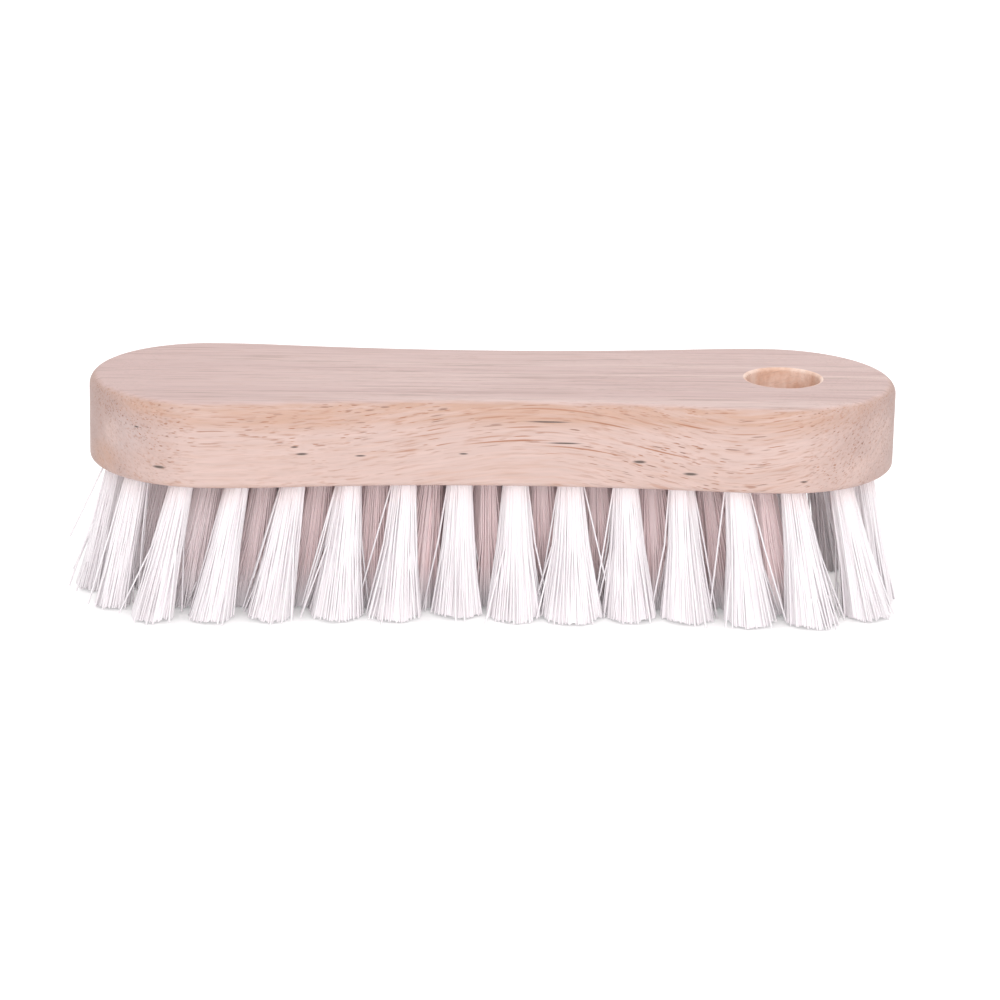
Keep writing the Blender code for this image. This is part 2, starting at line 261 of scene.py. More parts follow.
class BrushBristleSizes(bpy.types.PropertyGroup):
    """The strands of a tuft"""

    strands: IntProperty(
        name="Strands", description="Whole strands on the outside of each tuft",
        default=130, min=1)
    tip_strands: IntProperty(
        name="Tip strands", description="Strands inside each tuft, that show at its tips",
        default=70, min=0)
    strand_radius: length("Strand radius", "Half the thickness of one strand", 0.00025)
    bundle_radius: length("Bundle radius", "Radius of the bundle where it leaves the wood", 0.0026)
    core_share: share("Core share", "Width of a tuft's closed inside over the tuft's width", 1.0)
    core_length: share("Core length", "How far down a tuft its closed inside reaches", 0.99)
    middle_spread: share("Middle spread", "Width at the tips over width at the wood, halfway along",
                         2.45)
    end_spread: share("End spread", "The same at the ends of the block", 1.3)
    sway: length("Sway", "How far the tips of a tuft stray from where the packed ones are", 0.0007)
    fan_curve: share("Fan curve", "How late the tuft fans out: 1 is straight from the wood", 1.7)
    scatter: length("Scatter", "How far a tip strays from its place in the fan", 0.0004)
    stray_share: share("Stray share", "Share of the strands that stand out from the fan", 0.05)
    stray_reach: length("Stray reach", "How much further a stray tip stands out", 0.0035)
    bow: length("Bow", "How far a strand bows from straight", 0.00025)
    trim: length("Trim", "How uneven the cut tips are", 0.0015)


class BrushWoodLook(bpy.types.PropertyGroup):
    """The bare hardwood"""

    pale: colour("Pale wood", "Most of the sides", (0.670, 0.492, 0.447))
    dusky: colour("Dusky wood", "The darker growth layers", (0.612, 0.424, 0.368))
    warm: colour("Warm wood", "Patches of warmer wood", (0.585, 0.368, 0.286))
    # The top's colours: its grain bands, with a painted cool light from above that makes them
    # cooler and paler than the sides
    cool_lit_top_band: colour("Cool wood", "The top, where the light bands are", (0.722, 0.546, 0.510))
    cool_lit_top_dark_band: colour("Rosy wood", "The top, where the dark bands are", (0.625, 0.446, 0.422))
    # Partly the end grain's own duller colour and partly painted shade, for the round ends turning
    # away from the front light
    end_grain_and_shade: colour("Dull wood", "The round ends, where the grain is cut across",
                 (0.488, 0.345, 0.318))
    pore: colour("Pores", "The cut vessels", (0.410, 0.175, 0.095))
    old_pore: colour("Old pores", "The greyer of the cut vessels", (0.290, 0.175, 0.140))
    fleck: colour("Flecks", "The few dark flecks", (0.100, 0.075, 0.062))
    mauve: colour("Mauve wood", "Greyer patches at the round ends", (0.590, 0.460, 0.440))
    bore: colour("Bored wood", "The inside of the holes", (0.990, 0.760, 0.650))
    bore_shade: colour("Darker bored wood", "Patches on the inside of the holes",
                       (0.800, 0.510, 0.380))


class BrushBristleLook(bpy.types.PropertyGroup):
    """The white plastic of the strands"""

    white: colour("White", "The lighter strands", (0.980, 0.940, 0.962))
    milky: colour("Milky", "The duller strands", (0.955, 0.890, 0.920))
    # Painted shade: a rosy tint for the shade between the tufts and the light the wood reflects
    # onto them
    painted_rosy_shade: colour("Blush", "The strands of the inner rows, between the others",
                  (0.985, 0.805, 0.812))


class BrushStageSettings(bpy.types.PropertyGroup):
    """Camera, lamps and floor"""

    distance: length("Camera distance", "From the point looked at to the camera", 1.002)
    elevation: angle("Elevation", "Height of the camera above the horizon", 17.09)
    azimuth: angle("Azimuth", "Turn of the camera round the brush", -2.32)
    roll: angle("Roll", "Turn of the camera about its own axis", 1.23)
    aim_x: FloatProperty(
        name="Aim X", description="Where the camera looks, along the block",
        default=0.00215, unit="LENGTH")
    aim_below: length("Aim below", "How far below the wood the camera looks", 0.01124)
    lens: FloatProperty(
        name="Lens", description="Focal length on a 36 mm frame", default=144, unit="CAMERA")
    sky: strength("Sky", "Brightness of the even light all round", 0.72)
    key: strength("Key", "Strength of the soft lamp in front", 1.55)
    overhead: strength("Overhead", "Strength of the soft lamp above", 0.6)
    glow: strength("Floor glow", "How much light the floor adds where it is seen", 0.3)
    floor: colour("Floor", "The white floor", (0.93, 0.93, 0.93))


# Meshes

def finished_object(name, mesh, body="root"):
    """Links a mesh as a piece of the brush that rides on a body of the packed part."""
    piece = bpy.data.objects.new(name, mesh)
    bpy.context.scene.collection.objects.link(piece)
    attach(piece, body)
    return piece


def mesh_of(bm, name):
    """A new mesh of what was modelled, which is then freed."""
    mesh = bpy.data.meshes.new(name)
    bm.to_mesh(mesh)
    bm.free()
    return mesh


def spin_along(bm, vert, centre, turn, steps):
    """Draws an arc on from a vertex, about a centre, and returns the arc's last vertex."""
    drawn = bmesh.ops.spin(bm, geom=[vert], cent=(*centre, 0), axis=(0, 0, 1), angle=turn,
                           steps=steps)
    return next(item for item in drawn["geom_last"] if isinstance(item, bmesh.types.BMVert))


def block_mesh(sizes):
    """The block before drilling: half its outline in arcs, mirrored, filled, raised and rounded."""
    end_x = sizes.length / 2 - sizes.end_half_width
    turn = 2 * math.atan2(sizes.waist_depth, end_x)
    both_radii = end_x / math.sin(turn)
    shoulder = sizes.shoulder_share * both_radii
    waist = both_radii - shoulder
    shoulder_y = shoulder - sizes.end_half_width
    waist_y = sizes.waist_depth - sizes.end_half_width - waist
    quarter = math.pi / 2
    end_steps, shoulder_steps, waist_steps = 40, 8, 24
    bm = bmesh.new()
    last = bm.verts.new((-sizes.length / 2, 0, 0))
    for centre, arc, steps in (
        ((-end_x, 0), quarter, end_steps),
        ((-end_x, shoulder_y), turn, shoulder_steps),
        ((0, waist_y), -2 * turn, waist_steps),
        ((end_x, shoulder_y), turn, shoulder_steps),
        ((end_x, 0), quarter, end_steps),
    ):
        last = spin_along(bm, last, centre, arc, steps)
    bmesh.ops.remove_doubles(bm, verts=bm.verts[:], dist=SAME_POINT)
    bmesh.ops.mirror(bm, geom=bm.verts[:] + bm.edges[:], axis="Y", merge_dist=SAME_POINT)
    bmesh.ops.translate(bm, verts=bm.verts[:], vec=(0, 0, UNDERSIDE_Z))
    outline = bmesh.ops.contextual_create(bm, geom=bm.edges[:])["faces"]
    raised = bmesh.ops.extrude_face_region(bm, geom=outline)["geom"]
    raised = [item for item in raised if isinstance(item, bmesh.types.BMVert)]
    bmesh.ops.translate(bm, verts=raised, vec=(0, 0, sizes.thickness))
    middle = UNDERSIDE_Z + sizes.thickness / 2
    for radius, above, segments in ((sizes.top_round, True, 8), (sizes.bottom_round, False, 5)):
        rim = [
            edge for edge in bm.edges
            if all((vert.co.z > middle) == above for vert in edge.verts)
            and len(edge.link_faces) == 2
            and abs(edge.verts[0].co.z - edge.verts[1].co.z) < SAME_POINT
        ]
        bmesh.ops.bevel(bm, geom=rim, offset=radius, offset_type="OFFSET", segments=segments,
                        profile=0.5, affect="EDGES", material=-1)
    bmesh.ops.recalc_face_normals(bm, faces=bm.faces[:])
    return mesh_of(bm, "block")


def turned_mesh(name, profile, steps):
    """A solid turned about Z from (radius, height) pairs that start and end on the axis."""
    bm = bmesh.new()
    verts = [bm.verts.new((radius, 0, height)) for radius, height in profile]
    edges = [bm.edges.new(pair) for pair in zip(verts, verts[1:])]
    bmesh.ops.spin(bm, geom=verts + edges, cent=(0, 0, 0), axis=(0, 0, 1), angle=2 * math.pi,
                   steps=steps, use_merge=True)
    bmesh.ops.remove_doubles(bm, verts=bm.verts[:], dist=SAME_POINT)
    bmesh.ops.recalc_face_normals(bm, faces=bm.faces[:])
    return mesh_of(bm, name)


def hanging_hole_profile(sizes):
    """Straight through the block, with quarter rounds that widen it at both mouths."""
    half, segments = sizes.thickness / 2, 5
    mouth = []
    for step in range(segments + 1):
        turn = math.pi / 2 * (1 + step / segments)
        mouth.append((sizes.hole_radius + sizes.hole_round * (1 + math.cos(turn)),
                      half - sizes.hole_round * (1 - math.sin(turn))))
    widest = 2 * mouth[0][0] - mouth[1][0]
    over = 2 * mouth[0][1] - mouth[1][1]
    upper = [(0, half + CUT_BEYOND), (widest, half + CUT_BEYOND), (widest, over), *mouth]
    return upper + [(radius, -height) for radius, height in reversed(upper)]


def drill_profile(sizes):
    """A blind hole upwards from its mouth, with a pointed bottom."""
    return [
        (0, -CUT_BEYOND),
        (sizes.drill_radius, -CUT_BEYOND),
        (sizes.drill_radius, sizes.drill_depth),
        (0, sizes.drill_depth + sizes.drill_point),
    ]


def joined(name, mesh, places):
    """One mesh with a copy of another at each of these places."""
    bm = bmesh.new()
    for place in places:
        moved = mesh.copy()
        moved.transform(Matrix.Translation(place))
        bm.from_mesh(moved)
        bpy.data.meshes.remove(moved)
    return mesh_of(bm, name)


def drilled(mesh, cutters, materials):
    """The mesh less each of the cutters; the cut walls take the last of the materials."""
    block = bpy.data.objects.new("block", mesh)
    for material in materials:
        mesh.materials.append(material)
    helpers = [block]
    for cutter in cutters:
        cutter.materials.append(materials[-1])
        helper = bpy.data.objects.new(cutter.name, cutter)
        helpers.append(helper)
        cut = block.modifiers.new(cutter.name, "BOOLEAN")
        cut.operation = "DIFFERENCE"
        cut.object = helper
        cut.material_mode = "TRANSFER"
    for helper in helpers:
        bpy.context.scene.collection.objects.link(helper)
    graph = bpy.context.evaluated_depsgraph_get()
    result = bpy.data.meshes.new_from_object(block.evaluated_get(graph), depsgraph=graph)
    for helper in helpers:
        bpy.data.objects.remove(helper, do_unlink=True)
    return result


# Tufts

def root_and_tips(node):
    """Where a CAD tuft's plug stands in the wood, and where the middle of its trimmed tips is."""
    ends = []
    points = [node.matrix_world @ vert.co for vert in node.data.vertices]
    for height in (max(point.z for point in points), min(point.z for point in points)):
        level = [point for point in points if abs(point.z - height) < SAME_LEVEL]
        low = Vector([min(point[axis] for point in level) for axis in range(3)])
        high = Vector([max(point[axis] for point in level) for axis in range(3)])
        ends.append(((low + high) / 2).to_2d())
    return ends


def stalk_mesh(name, radius, sides, upper, lower, rings=()):
    """A straight stalk for part of a tuft's length, from 0 at its root to -1 at its tips.

    Its map has the two caps side by side in the lowest strip, and the wall above them.
    """
    cap_line, cap_radius, wall_height = 0.04, 0.03, 0.9
    bm = bmesh.new()
    bmesh.ops.create_cone(bm, cap_ends=True, segments=sides, radius1=radius, radius2=radius,
                          depth=upper - lower,
                          matrix=Matrix.Translation((0, 0, (upper + lower) / 2)))
    for height in rings:
        bmesh.ops.bisect_plane(bm, geom=bm.verts[:] + bm.edges[:] + bm.faces[:],
                               plane_co=(0, 0, height), plane_no=(0, 0, 1))
    bm.verts.layers.float.new("tone")
    along = bm.verts.layers.float.new("along")
    for vert in bm.verts:
        vert[along] = -vert.co.z
    strip = bm.loops.layers.uv.new(BAKE_MAP)
    for face in bm.faces:
        middle = face.calc_center_median()
        turn = math.atan2(middle.y, middle.x) / (2 * math.pi) % 1
        for loop in face.loops:
            x, y, z = loop.vert.co
            if abs(face.normal.z) > 0.9:
                at = Vector((0.3 if face.normal.z > 0 else 0.7, cap_line))
                at += Vector((x, y)) / radius * cap_radius
            else:
                side = (math.atan2(y, x) / (2 * math.pi) - turn + 0.5) % 1 - 0.5
                at = Vector((turn + side, 1 + wall_height * z))
            loop[strip].uv = at
    return mesh_of(bm, name)


def clump(turn, phase):
    """How short the strands are cut towards each side of a tuft, from 0 to 1."""
    return 0.5 + 0.25 * math.sin(2 * turn + phase) + 0.25 * math.sin(5 * turn + 2 * phase)


def held_inside(point, margin):
    """A place seen from above, moved so that it is this far inside the CAD box."""
    low, high = (Vector(corner).to_2d() for corner in CAD_BOX)
    edge = Vector((margin, margin))
    low, high = low + edge, high - edge
    return Vector([min(max(point[axis], low[axis]), high[axis]) for axis in range(2)])


def strand_routes(count, reach, root, lean, spread, sizes, phase, rng):
    """For each strand of a tuft: its start, lean, fan and bow, and how far down its tip is."""
    golden = math.pi * (3 - math.sqrt(5))
    inner, outer = reach
    for index in range(count):
        filled = inner ** 2 + (outer ** 2 - inner ** 2) * (index + 0.5) / count
        radius = sizes.bundle_radius * math.sqrt(filled)
        turn = index * golden + rng.uniform(-TURN_JITTER, TURN_JITTER)
        place = root + radius * Vector((math.cos(turn), math.sin(turn)))
        fan = (place - root) * (spread - 1)
        fan += Vector((rng.gauss(0, sizes.scatter), rng.gauss(0, sizes.scatter)))
        bow = Vector((rng.gauss(0, sizes.bow), rng.gauss(0, sizes.bow)))
        if rng.random() < sizes.stray_share:
            fan += (place - root).normalized() * sizes.stray_reach * rng.uniform(0.3, 1)
            bow *= 2
        tip = held_inside(place + lean + fan, sizes.strand_radius)
        cut = sizes.trim * (0.5 * rng.random() + 0.5 * clump(turn, phase))
        yield place, lean, tip - place - lean, bow, UNDERSIDE_Z - cut


def add_stalk(bm, stalk, route, swell, fan_curve, tone, cell):
    """A copy of a straight stalk, bent along its route, with its map in its own cell of the grid.

    Swell is how much wider it grows on the way.
    """
    start, lean, fan, bow, depth = route
    column, line, cells = cell
    margin = 0.1
    verts_before, faces_before = len(bm.verts), len(bm.faces)
    bm.from_mesh(stalk)
    bm.verts.ensure_lookup_table()
    bm.faces.ensure_lookup_table()
    shade, strip = bm.verts.layers.float["tone"], bm.loops.layers.uv[BAKE_MAP]
    for vert in bm.verts[verts_before:]:
        down = -vert.co.z
        out = down ** fan_curve
        across = lean * down + fan * out + bow * math.sin(math.pi * down)
        vert[shade] = tone
        vert.co = (
            start.x + vert.co.x * (1 + swell * out) + across.x,
            start.y + vert.co.y * (1 + swell * out) + across.y,
            UNDERSIDE_Z + SUNK - (depth + SUNK) * down,
        )
    for face in bm.faces[faces_before:]:
        for loop in face.loops:
            uv = loop[strip].uv
            uv.x = (column + margin + (1 - 2 * margin) * uv.x) / cells
            uv.y = (line + margin + (1 - 2 * margin) * uv.y) / cells


def tuft_mesh(name, root, lean, spread, stalks, sizes, cells, rng):
    """The strands of one tuft, half sunk in a closed inside that ends just above the tips."""
    strand, tip_strand, core = stalks
    phase = rng.uniform(0, 2 * math.pi)
    bm = bmesh.new()
    for stalk, count, reach in (
        (strand, sizes.strands, SHELL_REACH),
        (tip_strand, sizes.tip_strands, INSIDE_REACH),
    ):
        for route in strand_routes(count, reach, root, lean, spread, sizes, phase, rng):
            add_stalk(bm, stalk, route, 0, sizes.fan_curve, rng.random(), next(cells))
    still = Vector((0, 0))
    for node, tip in STRAYS:
        if node == name:
            tip = Vector(tip)
            start = root + (tip.to_2d() - root).normalized() * sizes.bundle_radius * 0.95
            route = start, tip.to_2d() - start, still, still, UNDERSIDE_Z - tip.z
            add_stalk(bm, strand, route, 0, sizes.fan_curve, rng.random(), next(cells))
    before = len(bm.verts)
    route = root, lean, still, still, UNDERSIDE_Z
    add_stalk(bm, core, route, spread - 1, sizes.fan_curve, 0.5, next(cells))
    for vert in bm.verts[before:]:
        if vert.co.z < UNDERSIDE_Z * 0.1:
            out = vert.co.to_2d() - root - lean
            vert.co.z += sizes.trim * (0.1 + 0.5 * clump(math.atan2(out.y, out.x), phase))
        vert.co.x, vert.co.y = held_inside(vert.co.to_2d(), 2 * sizes.strand_radius)
    return mesh_of(bm, name)


def cells_of(count):
    """The places of a square grid that holds this many strips of map."""
    cells = math.ceil(math.sqrt(count))
    for index in range(count):
        yield index % cells, index // cells, cells


# Materials

def new_material(name):
    """A material with its node tree and its shader."""
    material = bpy.data.materials.new(name)
    material.use_nodes = True
    tree = material.node_tree
    return material, tree, tree.nodes["Principled BSDF"]


def add_node(tree, kind, inputs=None, **settings):
    """A shader node with its settings and inputs set; an input given a socket is linked to it."""
    node = tree.nodes.new(kind)
    for name, value in settings.items():
        setattr(node, name, value)
    for name, value in (inputs or {}).items():
        if isinstance(value, bpy.types.NodeSocket):
            tree.links.new(value, node.inputs[name])
        else:
            node.inputs[name].default_value = value
    return node


def math_node(tree, operation, first, second=0.0):
    """The result of one sum on two numbers."""
    return add_node(tree, "ShaderNodeMath", {0: first, 1: second}, operation=operation).outputs[0]


def times(tree, first, second):
    return math_node(tree, "MULTIPLY", first, second)


def vector_math(tree, operation, first, second):
    """The result of one sum on two vectors."""
    inputs = {0: first, 1: second}
    return add_node(tree, "ShaderNodeVectorMath", inputs, operation=operation).outputs[0]


def axes_of(tree, vector):
    return add_node(tree, "ShaderNodeSeparateXYZ", {0: vector}).outputs


def ranged(tree, value, low, high, to_low=0.0, to_high=1.0, smooth=False):
    """Value taken from low..high to to_low..to_high and held there."""
    return add_node(
        tree, "ShaderNodeMapRange",
        {"Value": value, "From Min": low, "From Max": high, "To Min": to_low, "To Max": to_high},
        interpolation_type="SMOOTHSTEP" if smooth else "LINEAR",
    ).outputs["Result"]


def blended(tree, factor, first, second):
    """A colour between two others."""
    inputs = {0: factor, 6: first, 7: second}
    return add_node(tree, "ShaderNodeMix", inputs, data_type="RGBA").outputs[2]


def noise_node(tree, vector, scale, detail, roughness):
    """Noise that changes this many times a metre along X, Y and Z."""
    return add_node(
        tree, "ShaderNodeTexNoise",
        {"Vector": vector_math(tree, "MULTIPLY", vector, scale), "Scale": 1.0,
         "Detail": detail, "Roughness": roughness},
    )


def noise(tree, vector, scale, detail, roughness):
    return noise_node(tree, vector, scale, detail, roughness).outputs[0]


def seen_directly(tree):
    """1 where it is seen, also in a mirror or through glass, and 0 where it lights other things."""
    path = add_node(tree, "ShaderNodeLightPath").outputs
    indirect = math_node(tree, "MAXIMUM", path["Is Glossy Ray"], path["Is Transmission Ray"])
    return math_node(tree, "MAXIMUM", path["Is Camera Ray"], indirect)


def grain_height(x):
    """How far the grain's slow wave lifts it at a place along the block."""
    wave_length, wave_height, wave_start, wave_bend = GRAIN_WAVE
    along = x + wave_bend * x ** 2 - wave_start
    return wave_height * math.sin(2 * math.pi * along / wave_length)


def grain_vectors(tree, place):
    """Object coordinates without the grain's slow waves, and without its fine wander either."""
    wave_length, wave_height, wave_start, wave_bend = GRAIN_WAVE
    rise_start, rise_bend = GRAIN_RISE
    x = axes_of(tree, place)[0]
    along = math_node(tree, "ADD", x, times(tree, times(tree, x, x), wave_bend))
    along = math_node(tree, "SUBTRACT", along, wave_start)
    wave = math_node(tree, "SINE", times(tree, along, 2 * math.pi / wave_length))
    past = math_node(tree, "SUBTRACT", math_node(tree, "ABSOLUTE", x), rise_start)
    past = math_node(tree, "MAXIMUM", past, 0)
    calm = place
    for lift in (times(tree, wave, -wave_height), times(tree, times(tree, past, past), -rise_bend)):
        lift = add_node(tree, "ShaderNodeCombineXYZ", {2: lift}).outputs[0]
        calm = vector_math(tree, "ADD", calm, lift)
    grain = calm
    for scale, reach in GRAIN_DRIFT:
        drift = noise_node(tree, place, scale, 1.0, 0.5).outputs["Color"]
        drift = vector_math(tree, "SUBTRACT", drift, (0.5, 0.5, 0.5))
        grain = vector_math(tree, "ADD", grain, vector_math(tree, "MULTIPLY", drift, reach))
    return calm, grain


def vessels(tree, grain, spacing, thickness, share_cut):
    """Thin ellipsoids scattered along the grain: 1 inside them and 0 outside.

    Two random numbers for each come with it: how deep it is cut, and its age.
    """
    per_metre = [1 / step for step in spacing]
    cells = add_node(
        tree, "ShaderNodeTexVoronoi",
        {"Vector": vector_math(tree, "MULTIPLY", grain, per_metre), "Scale": 1.0},
    ).outputs
    chance = add_node(tree, "ShaderNodeSeparateColor", {0: cells["Color"]}).outputs
    reach = ranged(tree, chance[0], 0, 1, thickness * 0.6, thickness)
    inside = ranged(tree, math_node(tree, "DIVIDE", cells["Distance"], reach), 0.6, 1, 1, 0)
    kept = math_node(tree, "LESS_THAN", chance[1], share_cut)
    return times(tree, inside, kept), chance[2], chance[0]


def spot(tree, place, middle, size):
    """One soft-edged ellipsoid: 1 in its middle and 0 outside."""
    away = vector_math(tree, "SUBTRACT", place, middle)
    away = vector_math(tree, "MULTIPLY", away, [1 / half for half in size])
    away = add_node(tree, "ShaderNodeVectorMath", {0: away}, operation="LENGTH").outputs["Value"]
    return ranged(tree, away, 0.3, 1, 1, 0, smooth=True)


def side_tint(tree, look, place, grain, blotches, end, clean):
    """The block's sides: growth layers, streaks, ends darkened by their end grain and by painted
    shade, the placed patches and hatching.
    """
    layers = noise(tree, grain, *LAYERS)
    streaks = noise(tree, grain, *STREAKS)
    darkness = ranged(tree, layers, 0.42, 0.68, 0, 0.45)
    tint = blended(tree, darkness, (*look.pale, 1), (*look.dusky, 1))

    top_edge = ranged(tree, axes_of(tree, place)[2], 0.0490, 0.0525)
    top_edge = times(tree, top_edge, ranged(tree, streaks, 0.35, 0.6, 0.3, 1))
    warmth = math_node(tree, "MAXIMUM", ranged(tree, streaks, 0.5, 0.7, 0, 0.5), top_edge)
    tint = blended(tree, warmth, tint, (*look.warm, 1))

    # The round ends darkened: end grain and painted shade
    end_grain_and_shade_share = times(tree, end, ranged(tree, blotches, 0.35, 0.65, 0.5, 1))
    tint = blended(tree, end_grain_and_shade_share, tint, (*look.end_grain_and_shade, 1))
    for name, middle, size in PATCHES:
        inside = spot(tree, place, middle, size)
        inside = times(tree, inside, ranged(tree, streaks, 0.35, 0.6, 0.3, 0.8))
        tint = blended(tree, inside, tint, (*getattr(look, name), 1))

    hatching = ranged(tree, noise(tree, grain, *HATCHING), 0.55, 0.68, 0, 0.4)
    hatching = times(tree, hatching, ranged(tree, clean, 0, 1, 1, 0.3))
    return blended(tree, hatching, tint, (*look.pore, 1))


def top_bands_and_cool_light(tree, look, place):
    """The block's top: light and dark grain bands tinted with a painted cool light from above,
    darker to the back and the plain end, thin lines.
    """
    x, y, _ = axes_of(tree, place)
    bands = ranged(tree, noise(tree, place, *TOP_BANDS), 0.40, 0.62)
    tint = blended(tree, bands, (*look.cool_lit_top_band, 1), (*look.cool_lit_top_dark_band, 1))
    plain_end, back = ranged(tree, x, -0.01, -0.08, 0, 0.8), ranged(tree, y, 0.005, 0.025, 0, 0.7)
    tint = blended(tree, math_node(tree, "MAXIMUM", plain_end, back), tint, (*look.cool_lit_top_dark_band, 1))
    lines = ranged(tree, noise(tree, place, *TOP_LINES), 0.52, 0.68, 0, 0.45)
    return blended(tree, lines, tint, (*look.old_pore, 1))


def bored_tint(tree, look, place, tint):
    """The inside of the holes: mostly its own blotchy colour."""
    blotches = ranged(tree, noise(tree, place, *BORE_BLOTCHES), 0.4, 0.62)
    bore = blended(tree, blotches, (*look.bore, 1), (*look.bore_shade, 1))
    return blended(tree, 0.85, tint, bore)


def with_vessels(tree, look, grain, blotches, end, top, clean, tint):
    """The tint with the scattered cut vessels drawn in, and where they are."""
    clusters = ranged(tree, blotches, 0.40, 0.52, 0.25, 1)
    at_ends = times(tree, end, ranged(tree, blotches, 0.45, 0.55))
    pores = None
    for kind, where in (*((kind, clusters) for kind in VESSELS), (END_VESSELS, at_ends)):
        inside, depth, age = vessels(tree, grain, *kind)
        for share_left in (
            ranged(tree, depth, 0, 1, 0.5, 1),
            where,
            ranged(tree, top, 0, 1, 1, 0.3),
            ranged(tree, clean, 0, 1, 1, 0.1),
        ):
            inside = times(tree, inside, share_left)
        ink = blended(tree, ranged(tree, age, 0.5, 1), (*look.pore, 1), (*look.old_pore, 1))
        tint = blended(tree, inside, tint, ink)
        pores = math_node(tree, "MAXIMUM", pores, inside) if pores else inside
    return tint, pores


def with_placed_marks(tree, look, place, calm, tint):
    """The tint with the waist's long vessels and the dark flecks drawn in."""
    for (x, y, z), half_length, opacity in WAIST_LINES:
        size = half_length, WAIST_LINE_HALF_DEPTH, WAIST_LINE_HALF_THICKNESS
        line = spot(tree, calm, (x, y, z - grain_height(x)), size)
        tint = blended(tree, times(tree, line, opacity), tint, (*look.pore, 1))
    for middle, size in FLECKS:
        dark = times(tree, spot(tree, place, middle, size), FLECK_OPACITY)
        tint = blended(tree, dark, tint, (*look.fleck, 1))
    return tint


def wood_material(look, bored=False):
    """Sanded hardwood, or the inside of its holes."""
    material, tree, shader = new_material("bored_wood" if bored else "sanded_wood")
    coordinates = add_node(tree, "ShaderNodeTexCoord").outputs
    place = coordinates["Object"]
    facing = axes_of(tree, coordinates["Normal"])
    fuzz = times(tree, noise(tree, place, *FUZZ), 0.3)
    top = ranged(tree, math_node(tree, "ADD", facing[2], fuzz), 0.9, 1.12)
    end = ranged(tree, math_node(tree, "ABSOLUTE", facing[0]), 0.12, 0.8)
    clean = math_node(tree, "MAXIMUM", *[spot(tree, place, *where) for where in CLEAN_WOOD])
    calm, grain = grain_vectors(tree, place)
    blotches = noise(tree, grain, *BLOTCHES)
    fibre = noise(tree, grain, *FIBRE)

    side = side_tint(tree, look, place, grain, blotches, end, clean)
    # The top takes its bands with the painted cool light, the sides their own colours
    tint = blended(tree, top, side, top_bands_and_cool_light(tree, look, place))
    if bored:
        tint = bored_tint(tree, look, place, tint)
    tint, pores = with_vessels(tree, look, grain, blotches, end, top, clean, tint)
    tint = with_placed_marks(tree, look, place, calm, tint)
    tint = vector_math(tree, "MULTIPLY", tint, ranged(tree, fibre, 0.3, 0.7, 0.94, 1.04))
    tree.links.new(tint, shader.inputs["Base Color"])

    rough = ranged(tree, fibre, 0.3, 0.7, 0.52, 0.62)
    rough = math_node(tree, "ADD", rough, times(tree, pores, 0.2))
    tree.links.new(rough, shader.inputs["Roughness"])
    relief = math_node(tree, "SUBTRACT", times(tree, fibre, 0.12), pores)
    bump = {"Height": relief, "Distance": 0.00006, "Strength": 0.8}
    tree.links.new(add_node(tree, "ShaderNodeBump", bump).outputs[0], shader.inputs["Normal"])
    return material


def bristle_material(look, inner=False):
    """White filament: a tone for each strand, duller at the cut tip, and a painted rosy shade for
    the shade and the wood's reflected light, near the wood on the outer row and all along the inner
    rows.
    """
    material, tree, shader = new_material("inner_filament_painted_shade" if inner else "white_filament")
    tone = add_node(tree, "ShaderNodeAttribute", attribute_name="tone").outputs["Fac"]
    along = add_node(tree, "ShaderNodeAttribute", attribute_name="along").outputs["Fac"]
    duller, at_tip = ranged(tree, tone, 0, 1, 0, 0.6), ranged(tree, along, 0.985, 1, 0, 0.8)
    tint = math_node(tree, "MAXIMUM", duller, at_tip)
    tint = blended(tree, tint, (*look.white, 1), (*look.milky, 1))
    # Painted rosy shade: full strength down the inner rows, fading out just above their tips, and a
    # quarter as strong on the outer row, fading out a quarter of the way down
    reach = 1 if inner else 0.25
    painted_rosy_shade = ranged(tree, along, 0.7 * reach, 0.97 * reach, reach, 0)
    # Less of the painted shade towards the plain end
    x = axes_of(tree, add_node(tree, "ShaderNodeTexCoord").outputs["Object"])[0]
    painted_rosy_shade = times(tree, painted_rosy_shade, ranged(tree, x, -0.085, -0.045, 0.4, 1))
    tint = blended(tree, painted_rosy_shade, tint, (*look.painted_rosy_shade, 1))
    tree.links.new(tint, shader.inputs["Base Color"])
    tree.links.new(ranged(tree, tone, 0, 1, 0.3, 0.42), shader.inputs["Roughness"])
    return material


# Operators

class BRUSH_OT_wooden_block(bpy.types.Operator):
    """Models the wooden block, drilled for its tufts and for hanging, in place of the packed one"""

    bl_idname = "cleaning_brush.wooden_block"
    bl_label = "Wooden Block"

    def execute(self, context):
        sizes, look = context.scene.brush_block, context.scene.brush_wood
        roots = [
            (*root_and_tips(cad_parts[node])[0], UNDERSIDE_Z)
            for nodes in TUFT_ROWS.values() for node in nodes
        ]
        hole = turned_mesh("hanging_hole", hanging_hole_profile(sizes), 64)
        hole.transform(Matrix.Translation(
            (sizes.length / 2 - sizes.hole_from_end, 0, UNDERSIDE_Z + sizes.thickness / 2)))
        drill = turned_mesh("drill", drill_profile(sizes), 24)
        materials = [wood_material(look), wood_material(look, bored=True)]
        mesh = drilled(block_mesh(sizes), [hole, joined("drills", drill, roots)], materials)
        mesh.name = "wooden_block_sanded"
        mesh.shade_smooth()
        mesh.set_sharp_from_angle(angle=math.radians(35))
        block = finished_object("sanded_block", mesh)
        flat = block.modifiers.new("even faces", "WEIGHTED_NORMAL")
        flat.keep_sharp = True
        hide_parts("wooden_block")
        return {"FINISHED"}


